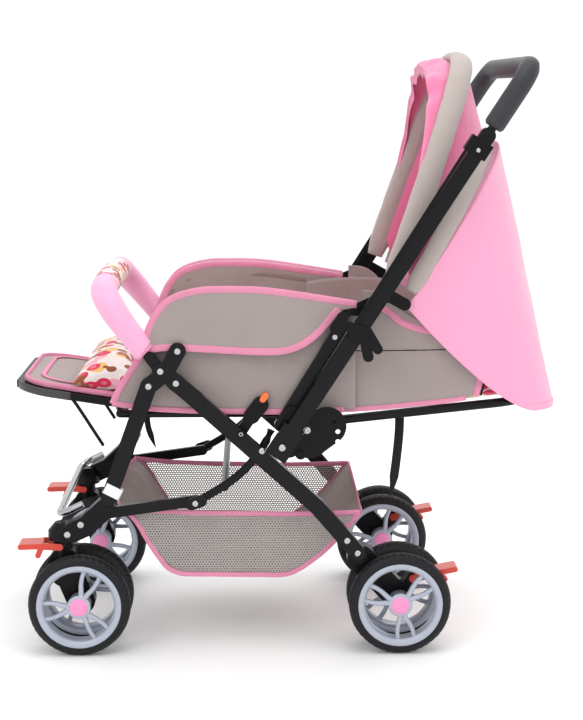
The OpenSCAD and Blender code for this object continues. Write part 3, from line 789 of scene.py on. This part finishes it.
foot = pad("footrest_cushion", tray_half(149, 165, 50), -165, -10, 16.6, 24.5, tray, "taupe", 2.5, 1.0,
           nx=44, ny=36)
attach(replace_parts(foot, "footrest_pad"), "footrest")


def tray_edge(w, far, corner, z, n=90, start=-12):
    line = [(w, start), (w, -far + corner)]
    line += [(w - corner + corner * math.cos(a), -far + corner - corner * math.sin(a))
             for a in (math.pi / 2 * k / 8 for k in range(1, 9))]
    line += [(-x, y) for x, y in reversed(line)]
    return smooth_path([tray(x, y, z) for x, y in line], n)


sweep("footrest_binding", tray_edge(148.5, 165, 50, 21.5, 120),
      oval(0.0028, 0.0050, 12, 0.06, 40, power=0.75), "binding", "footrest", fixed=True)
sweep("footrest_inner_binding", tray_edge(121, 140, 42, 26.4, 110, -30), oval(0.0042, 0.0014, 12, 0.08, 30),
      "binding", "footrest", fixed=True)
sweep("tray_front_edge", tray_edge(160.4, 176.4, 60, 10.2, 90, -84), oval(0.0019, 0.0066, 12, power=0.6),
      "tray_edge", "footrest", fixed=True)

# ---------------------------------------------------------------- fabric wings of the backrest
WING_TOP = [(120, 556), (160, 562), (205, 564), (244, 564), (280, 556), (312, 538), (338, 517), (362, 500),
            (380, 478)]
WING_LOW = [(120, 396), (170, 392), (225, 395), (280, 400), (330, 405), (364, 410), (379, 414)]
WING_BAND = [(196, 563), (222, 559), (240, 550), (258, 535), (288, 523), (322, 518), (340, 516)]


def wing(s, hand):
    n = 56
    top, low = smooth_yz(WING_TOP, n), smooth_yz(WING_LOW, n)
    rows = []
    for i in range(27):
        t = i / 26
        row = []
        for j in range(n):
            u = j / (n - 1)
            p = top[j].lerp(low[j], t)
            p.y += 8 * math.sin(math.pi * t) * u ** 3
            edge = min(1, u * 8, (1 - u) * 6) * min(1, t * 5, (1 - t) * 4)
            fold = 1.9 * math.exp(-((p.z - 488 - 0.02 * (p.y - 210)) / 2.6) ** 2)
            wave = (2.4 * ripple((p.y * 0.014 + p.z * 0.012, p.z * 0.02, s), 41)
                    + 1.3 * ripple((p.y * 0.04, (p.z - p.y * 0.6) * 0.03, s), 47))
            out = (0.8 * math.sin(math.pi * t) + 0.32 * wave) * edge - 0.7 * fold
            row.append(at(s * (190.7 + out), p.y, p.z))
        rows.append(row)
    ob = sheet(f"wing_{hand}", rows, "taupe", "backrest", 1.8)
    # Both wings stand for one CAD node, so only the left one names it
    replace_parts(ob, *(["backrest_wings"] if s > 0 else []))
    band = smooth_yz(WING_BAND, 40)
    rows = []
    for i in range(9):
        t = i / 8
        row = []
        for j, b in enumerate(band):
            u = j / 39
            high = 22 * math.sin(math.pi * min(1, 0.25 + 0.75 * u)) * (1 - u)
            up = Vector((0, b.y + 6 * u, b.z + 4 + high + 3))
            p = up.lerp(b, t)
            wave = ripple((p.y * 0.04, p.z * 0.04, s), 51)
            row.append(at(s * (192.9 + 0.3 * wave), p.y, p.z))
        rows.append(row)
    sheet(f"wing_flap_{hand}", rows, "taupe", "backrest", 1.4)
    binding(f"wing_band_{hand}", [at(s * 193.5, p.y, p.z) for p in band[::3]], 60, "backrest", 11.5, 2.6)
    binding(f"wing_low_binding_{hand}", [at(s * 191.4, p.y, p.z) for p in low[::4]], 70, "backrest", 8.5, 4.4)
    end = ((386, 480), (389, 462), (388, 440), (381, 413))
    binding(f"wing_end_binding_{hand}", [at(s * 191.4, *q) for q in end], 30, "backrest", 10.5, 4.6)
    tape = ((394, 478), (396, 458), (394, 438), (388, 414))
    binding(f"wing_end_tape_{hand}", [at(s * 184.0, *q) for q in tape], 30, "backrest", 8.0, 3.2,
            material="webbing")
    # A thin black tube along the crease of the wing: painted shade standing for the crease's shadow at the seam
    seam = smooth_yz([(150, 489), (240, 489), (320, 490), (384, 492)], 50)
    binding(f"wing_seam_{hand}", [at(s * 191.6, p.y, p.z - 1.2) for p in seam[::4]], 60, "backrest", 1.6, 2.2,
            material="webbing")


for s, hand in HANDS:
    wing(s, hand)

# ---------------------------------------------------------------- bumper bar
bar_foot = (223, -124 + 40 * math.cos(math.radians(128)), 462 + 40 * math.sin(math.radians(128)))
bar_half = [bar_foot]
bar_half += bezier([(223, -150, 494), (223, -176, 528), (223, -202, 560), (183, -214, 580)], 8)
bar_half += bezier([(161, -216, 584), (123, -218, 586), (80, -218, 586), (0, -218, 586)], 5)
far_half = [at(-x, y, z) for x, y, z in reversed(bar_half[:-1])]
bar_line = smooth_path([at(*q) for q in bar_half] + far_half, 241)
split = 72
BAR_UP = (1, 0.1, 0)


def plump(seed, gather):
    """Padded sleeve section, gathered into small pleats at its low end."""

    def section(s, a):
        if a is None:
            return 36
        k = 1.0 + 0.035 * noise.noise(Vector((s * 9 + seed, math.cos(a) * 1.3, math.sin(a) * 1.3)))
        if gather:
            low = max(0.0, 1 - (s if gather > 0 else 1 - s) * 9)
            k *= 1 - 0.1 * low + 0.09 * low * math.sin(9 * a)
        tip = min(1.0, 22 * min(s, 1 - s) + 0.86)
        r = 0.0178 + 0.0036 * min(1.0, (s if gather > 0 else 1 - s) * 2.2 if gather else 1.0)
        return r * k * tip * math.cos(a), r * k * tip * math.sin(a)

    return section


sleeves = [
    sweep("bumper_sleeve_left", bar_line[:split + 1], plump(1, 1), "pink_sleeve", "bumper", BAR_UP),
    sweep("bumper_sleeve_middle", bar_line[split:240 - split + 1], plump(2, 0), "print", "bumper", BAR_UP),
    sweep("bumper_sleeve_right", bar_line[240 - split:], plump(3, -1), "pink_sleeve", "bumper", BAR_UP),
]
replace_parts(sleeves[1], "bumper_sleeve")
for s, hand, k in ((1, "left", split), (-1, "right", 240 - split)):
    a, b = bar_line[k], bar_line[k + 1]
    ring = [a + (b - a) * t for t in (-0.35, 0.35)]
    sweep(f"bumper_seam_{hand}", smooth_path([ring[0], (ring[0] + ring[1]) / 2, ring[1]], 5),
          oval(0.0205, 0.0205, 36, 0.02), "webbing", "bumper", BAR_UP)
    low = bar_line[0] if s > 0 else bar_line[-1]
    nxt = bar_line[3] if s > 0 else bar_line[-4]
    d = (nxt - low).normalized()

    def frill(t, ang):
        if ang is None:
            return 72
        k = 0.0147 + 0.0008 * t + 0.0012 * math.sin(11 * ang) * t
        return k * math.cos(ang), k * math.sin(ang)

    edge = smooth_path([low + d * 0.006, low + d * 0.001, low - d * 0.003], 8)
    rim = sweep(f"bumper_frill_{hand}", edge, frill, "binding", "bumper", BAR_UP, closed=False)
    thicken(rim, 0.0012)

# ---------------------------------------------------------------- hood
HOOD_PIN, REAR_FOOT = (237, 580), (262, 566)
HOOD_HALF = 219
ARCH_POWER = 0.62
FRONT_ANGLE, FRONT_REACH = 71, 404
REAR_ANGLE, REAR_REACH = 60.5, 300


def arch_point(w, r, k):
    """Across and along a bow's arch at the share k of the way from its left foot to its right."""
    a = math.pi * k
    c, q = math.cos(a), max(math.sin(a), 0.0)
    return rounded(c, ARCH_POWER) * w, r * q ** ARCH_POWER


def arch_line(w, r, first, n):
    """Evenly spaced points along an arch, from the reach first on one side to the same on the other."""
    k0 = math.asin((first / r) ** (1 / ARCH_POWER)) / math.pi
    fine = [Vector((*arch_point(w, r, k0 + (1 - 2 * k0) * i / 900), 0)) for i in range(901)]
    return [(q.x, q.y) for q in evenly(fine, n)]


def on_bow(foot, angle, x, r, lift=0.0):
    """lift is forward of the bow's plane."""
    c, q = math.cos(math.radians(angle)), math.sin(math.radians(angle))
    return Vector((x, foot[0] + r * c - lift * q, foot[1] + r * q + lift * c))


def bow_sleeve(name, foot, angle, reach, r, first, body, seed, wide):
    line = [on_bow(foot, angle, x, q) for x, q in arch_line(HOOD_HALF - r, reach - r, first, 150)]

    def section(s, a):
        if a is None:
            return 24
        k = 1 + 0.05 * noise.noise(Vector((s * 30 + seed, math.cos(a) * 1.5, math.sin(a) * 1.5)))
        k *= 1 - 0.25 * max(0, 1 - min(s, 1 - s) * 40)
        return 0.93 * r * 0.001 * k * math.cos(a), wide * 0.001 * k * math.sin(a)

    ob = sweep(name, [at(*p) for p in line], section, "sleeve", body, up=(0, -0.9, 0.4))
    return ob


front_sleeve = bow_sleeve("front_bow_sleeve", HOOD_PIN, FRONT_ANGLE, FRONT_REACH, 12.4, 24, "hood_front",
                          3, 18.5)
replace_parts(front_sleeve, "front_bow")
rear_sleeve = bow_sleeve("rear_bow_sleeve", REAR_FOOT, REAR_ANGLE, REAR_REACH, 9.2, 22, "frame", 7, 14.5)
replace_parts(rear_sleeve, "rear_bow")


def cloth_fold(p, seed, scale=0.012):
    return noise.noise(Vector((p.x * scale + seed, p.y * scale, p.z * scale * 0.7)))


def roof():
    n, rows = 140, []
    lower = arch_line(HOOD_HALF - 18, REAR_REACH - 3, 34, n)
    upper = arch_line(HOOD_HALF - 22, FRONT_REACH - 14, 60, n)
    for i in range(17):
        t = i / 16
        row = []
        for (xa, ra), (xb, rb) in zip(lower, upper):
            a = on_bow(REAR_FOOT, REAR_ANGLE, xa, ra, 5)
            b = on_bow(HOOD_PIN, FRONT_ANGLE, xb, rb, -9)
            p = a.lerp(b, t)
            p.x *= 1 - (0.008 + 0.006 * cloth_fold(p, 5, 0.02)) * math.sin(math.pi * t)
            p.z -= 1.5 * math.sin(math.pi * t)
            row.append(at(*p))
        rows.append(row)
    # The roof takes the visor's darker pink: painted shade of the inside of the hood
    ob = grid("hood_roof", rows, "visor")
    measured(ob, rows)
    thicken(ob, 0.0012)
    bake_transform(ob)
    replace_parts(ob, "canopy_roof")
    declare(ob)


roof()


def visor():
    n, rows, depth = 220, [], 34
    line = arch_line(HOOD_HALF - 16, FRONT_REACH - 24, 66, n)
    for i in range(depth + 1):
        t = i / depth
        row = []
        for j, (x, r) in enumerate(line):
            h = r / 380
            reach = 2 + 52 * h ** 3
            out = 5.5 * math.sin(math.pi * t) + 5.0 * t
            s = j / (n - 1)
            hang = max(0.0, 1 - abs(x) / 150)
            folds = (5.5 * math.sin(s * 62 + 6 * noise.noise(Vector((s * 9, 2, 0)))) * (0.45 + 0.55 * t)
                     + 12.0 * noise.noise(Vector((s * 24, t * 2.2, 4)))) * t ** 0.5 * (0.2 + 0.8 * h ** 2)
            curl = 13 * max(0.0, t - 0.72) / 0.28
            lift = 10 + reach * min(t, 0.86) / 0.86 - 0.5 * curl * (t > 0.86) + folds * 0.45
            scale = 1 + (out + folds * 0.55 - curl * 0.9) / 380
            p = on_bow(HOOD_PIN, FRONT_ANGLE, x * scale, r * scale, lift)
            p.z -= 26 * h ** 4 * t ** 1.3 + 3 * hang * t
            row.append(at(*p))
        rows.append(row)
    ob = sheet("hood_visor", rows, "visor", "hood_front", 1.2)
    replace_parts(ob, "canopy_visor")


visor()

HEM_FRONT, HEM_BACK = (268, 566), (521, 394)


def hood_back():
    n, rows, depth = 150, [], 46
    top = arch_line(HOOD_HALF - 7, REAR_REACH - 1, 30, n)

    def hem(i):
        a = math.pi * i / (n - 1)
        c, q = math.cos(a), max(math.sin(a), 0.0)
        x = 211 * rounded(c, 0.3)
        y = HEM_FRONT[0] + (HEM_BACK[0] - HEM_FRONT[0]) * q ** 0.55
        rise = max(0.0, 1 - (y - HEM_FRONT[0]) / 205)
        return Vector((x, y, HEM_BACK[1] + (HEM_FRONT[1] - HEM_BACK[1]) * rise ** 1.35))

    hems = smooth_path([hem(i) for i in range(n)], n)
    for k in range(depth + 1):
        t = k / depth
        row = []
        for j, (x, r) in enumerate(top):
            a = on_bow((REAR_FOOT[0] + 9, REAR_FOOT[1] - 4), 58.1, x, r)
            p = a.lerp(hems[j], t)
            s = j / (n - 1)
            body = math.sin(math.pi * t) ** 0.7 if 0 < t < 1 else 0
            out = Vector((p.x / 211, (p.y - 300) / 260, 0)) * 0.8
            drape = (8.0 * cloth_fold(p, 11, 0.009) + 3.4 * cloth_fold(p, 13, 0.022)) * body
            crease = (2.6 * math.sin(s * 40 + 2.5 * t) * math.exp(-((t - 1) / 0.2) ** 2)
                      * math.sin(math.pi * s))
            p += out * (drape + crease)
            row.append(at(*p))
        rows.append(row)
    ob = sheet("hood_back", rows, "pink", "frame", 1.2)
    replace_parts(ob, "canopy_back")
    hemline = rows[-1]
    sweep("hood_hem", smooth_path(hemline[::3] + [hemline[-1]], 180),
          oval(0.0016, 0.0052, 12, 0.05, 40, power=0.8), "pink", "frame", fixed=True)


hood_back()

# ---------------------------------------------------------------- basket
BASKET = [(-196, 230), (-170, 212), (-146, 170), (-106, 121), (82, 116), (147, 165), (196, 220)]
HALF = 185


def basket():
    n = 90
    line = smooth_yz([(-197, 231), (-172, 212), (-148, 171), (-122, 134), (-100, 120), (-40, 117.5),
                      (30, 116.5), (78, 117.5), (112, 136), (147, 165), (196, 220)], n)
    rows = []
    for p_i, p in enumerate(line):
        u = p_i / (n - 1)
        row = []
        for j in range(49):
            w = -1 + 2 * j / 48
            x = HALF * w
            mid = (1 - w ** 4)
            front, flat = max(0, 1 - u * 3.2), math.exp(-((u - 0.5) / 0.22) ** 2)
            y = p.y - 9 * front * mid + 3 * max(0, u - 0.75) * 4 * mid
            z = p.z - 2.5 * flat * mid
            z += (2.2 * ripple((x * 0.02, p.y * 0.02, 3))
                  + 1.6 * math.sin(x * 0.09 + p.z * 0.05) * front) * mid
            y += 2.5 * ripple((x * 0.025, p.z * 0.03, 8)) * mid
            row.append(at(x, y, z))
        rows.append(row)
    ob = sheet("basket_lining", rows, "taupe", "link_tube", 1.4)
    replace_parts(ob, "basket")
    return line


basket_line = basket()
MESH_TOP = [(-197, 231), (-130, 224), (-60, 221), (20, 219), (100, 218), (196, 220)]


def inside(y, z, outline):
    hit = False
    for (ya, za), (yb, zb) in zip(outline, outline[1:] + outline[:1]):
        if (za > z) != (zb > z) and y < (yb - ya) * (z - za) / (zb - za) + ya:
            hit = not hit
    return hit


def basket_mesh(s, hand):
    """Knitted mesh with real six-sided openings."""
    outline = BASKET + [(100, 218), (20, 219), (-60, 221)]
    pitch, verts, faces = 4.6, [], []
    r = pitch / math.sqrt(3)
    for i in range(-46, 48):
        for j in range(0, 32):
            y, z = i * pitch + (pitch / 2 if j % 2 else 0), 114 + j * pitch * 0.866
            if not inside(y, z, outline):
                continue
            base = len(verts)
            for rad in (r * 1.0, r * 0.56):
                for k in range(6):
                    a = math.pi / 3 * k + math.pi / 6
                    q = (y + rad * math.cos(a), z + rad * math.sin(a))
                    side = 1.6 * math.sin(math.pi * min(1, max(0, (231 - q[1]) / 115))) + 0.8 * ripple(
                        (q[0] * 0.02, q[1] * 0.02, s), 77)
                    verts.append(at(s * (HALF - 1.2 + side), *q))
            faces += [(base + k, base + (k + 1) % 6, base + 6 + (k + 1) % 6, base + 6 + k) for k in range(6)]
    ob = piece(f"basket_mesh_{hand}", verts, faces, "mesh", "link_tube", smooth=False)
    mend(ob, 0.00008, outside=False)
    edge = [at(s * (HALF - 0.4), *q) for q in MESH_TOP]
    binding(f"basket_top_binding_{hand}", edge, 90, "link_tube", 8.5, 4.2)
    edge = [at(s * (HALF + 0.2), q.y, q.z - 0.5) for q in basket_line[::4] + [basket_line[-1]]]
    binding(f"basket_edge_binding_{hand}", edge, 130, "link_tube", 8.0, 4.6)


for s, hand in HANDS:
    basket_mesh(s, hand)
for name, (y, z) in (("front", (-204, 231)), ("rear", (198, 221))):
    line = []
    for x in range(-184, 185, 23):
        bow = 10 * (abs(x) / HALF) ** 4 if name == "front" else 0
        line.append(at(x, y + bow, z + 2.0 * ripple((x * 0.02, 0, 2))))
    binding(f"basket_{name}_binding", line, 70, "link_tube", 8.0, 3.6, up=(0, -1, 0))

# Each basket piece gets a mesh of its own
for ob in [o for o in bpy.data.objects if o.name.startswith("basket_")]:
    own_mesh(ob)

# ---------------------------------------------------------------- handle grip and small trim
grip_line = [handle(238, u) for u in (599, 625, 650, 667)]
grip_line += [handle(238 - 42 + 42 * math.cos(a), 668 + 42 * math.sin(a))
              for a in (math.pi / 2 * k / 6 for k in range(1, 7))]
grip_line += [handle(x, 710) for x in (150, 80, 0)]
mirror = [Vector((-q.x, q.y, q.z)) for q in reversed(grip_line[:-1])]


def foam(s, a):
    if a is None:
        return 28
    end = min(1.0, 0.8 + 30 * min(s, 1 - s))
    seam = 1 - 0.05 * math.exp(-((math.cos(a + 2.2) - 1) / 0.02) ** 2)
    return 0.0165 * end * seam * math.cos(a), 0.0165 * end * seam * math.sin(a)


grip = sweep("foam_grip", smooth_path(grip_line + mirror, 160), foam, "foam", "handle", up=(0, -0.84, 0.54))
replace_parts(grip, "handle_grip")


def band(name, points, wide, thick, body, n):
    """Flat webbing along points, tapered at its loose end."""

    def section(s, a):
        if a is None:
            return 12
        k = 1 - 0.85 * max(0.0, (s - 0.75) * 4)
        return rounded(math.cos(a), 0.5) * wide * k / 2000, rounded(math.sin(a), 0.8) * thick / 2000

    return sweep(name, smooth_path(points, n), section, "webbing", body, up=(1, 0, 0), fixed=True)


hanging = [back(150, 158), at(150, 262, 362), at(151, 261, 340), at(153, 257, 300), at(154, 252, 262),
           at(154, 247, 238)]
ob = band("recline_strap_end", hanging, 15, 1.6, "backrest", 50)
hanging = [at(60, -158, 388), at(60, -156, 345), at(59, -150, 322), at(59, -143, 303)]
ob = band("harness_strap_end", hanging, 10, 1.6, "frame", 40)

for s, hand in HANDS:
    # White foam wrapped round the low end of the front leg
    a, b = Vector((s * 222, -198.5, 275)), Vector((s * 222, -206.5, 259.5))

    def wrap(t, ang):
        if ang is None:
            return 32
        k = 1 + 0.05 * noise.noise(Vector((t * 5, math.cos(ang) * 2, math.sin(ang) * 2 + s)))
        return 0.0148 * k * rounded(math.cos(ang), 0.35), 0.0085 * k * rounded(math.sin(ang), 0.4)

    sweep(f"leg_wrap_{hand}", smooth_path([at(*a), at(*a.lerp(b, 0.5)), at(*b)], 12), wrap, "wrap", "frame",
          up=(1, 0, 0), fixed=True)

# ---------------------------------------------------------------- floor, lights and world
floor = piece("floor", [(-9, -9, 0), (9, -9, 0), (9, 9, 0), (-9, 9, 0)], [(0, 1, 2, 3)], "wrap")
floor_n = Nodes("pale_floor", (0.99, 0.99, 0.99), 0.7)
scuffs = floor_n.math("MULTIPLY", floor_n.noise(3, 4), 0.1)
floor_n.set(floor_n.shader, Roughness=floor_n.math("ADD", 0.5, scuffs))
floor.data.materials.clear()
floor.data.materials.append(floor_n.m)

world = bpy.data.worlds.new("studio")
bpy.context.scene.world = world
world.use_nodes = True
background = world.node_tree.nodes["Background"]
background.inputs[0].default_value = (1, 1, 1, 1)
background.inputs[1].default_value = 1.03
bpy.context.scene.view_settings.view_transform = "Standard"


def lamp(name, place, target, size, power):
    data = bpy.data.lights.new(name, "AREA")
    data.shape, data.size, data.size_y, data.energy = "RECTANGLE", size[0], size[1], power
    ob = bpy.data.objects.new(name, data)
    ob.location = place
    ob.rotation_mode = "QUATERNION"
    ob.rotation_quaternion = (Vector(target) - Vector(place)).to_track_quat("-Z", "Y")
    bpy.context.collection.objects.link(ob)


lamp("key", (2.6, -1.6, 2.6), (0, 0, 0.5), (1.2, 1.2), 12)
lamp("top", (0.3, 0.2, 3.2), (0, 0, 0.4), (2.0, 2.0), 30)
lamp("fill", (2.4, 2.2, 1.6), (0, 0.1, 0.5), (1.2, 1.2), 4)
lamp("back", (-2.2, 0.6, 2.2), (0, 0, 0.5), (2.2, 1.6), 22)
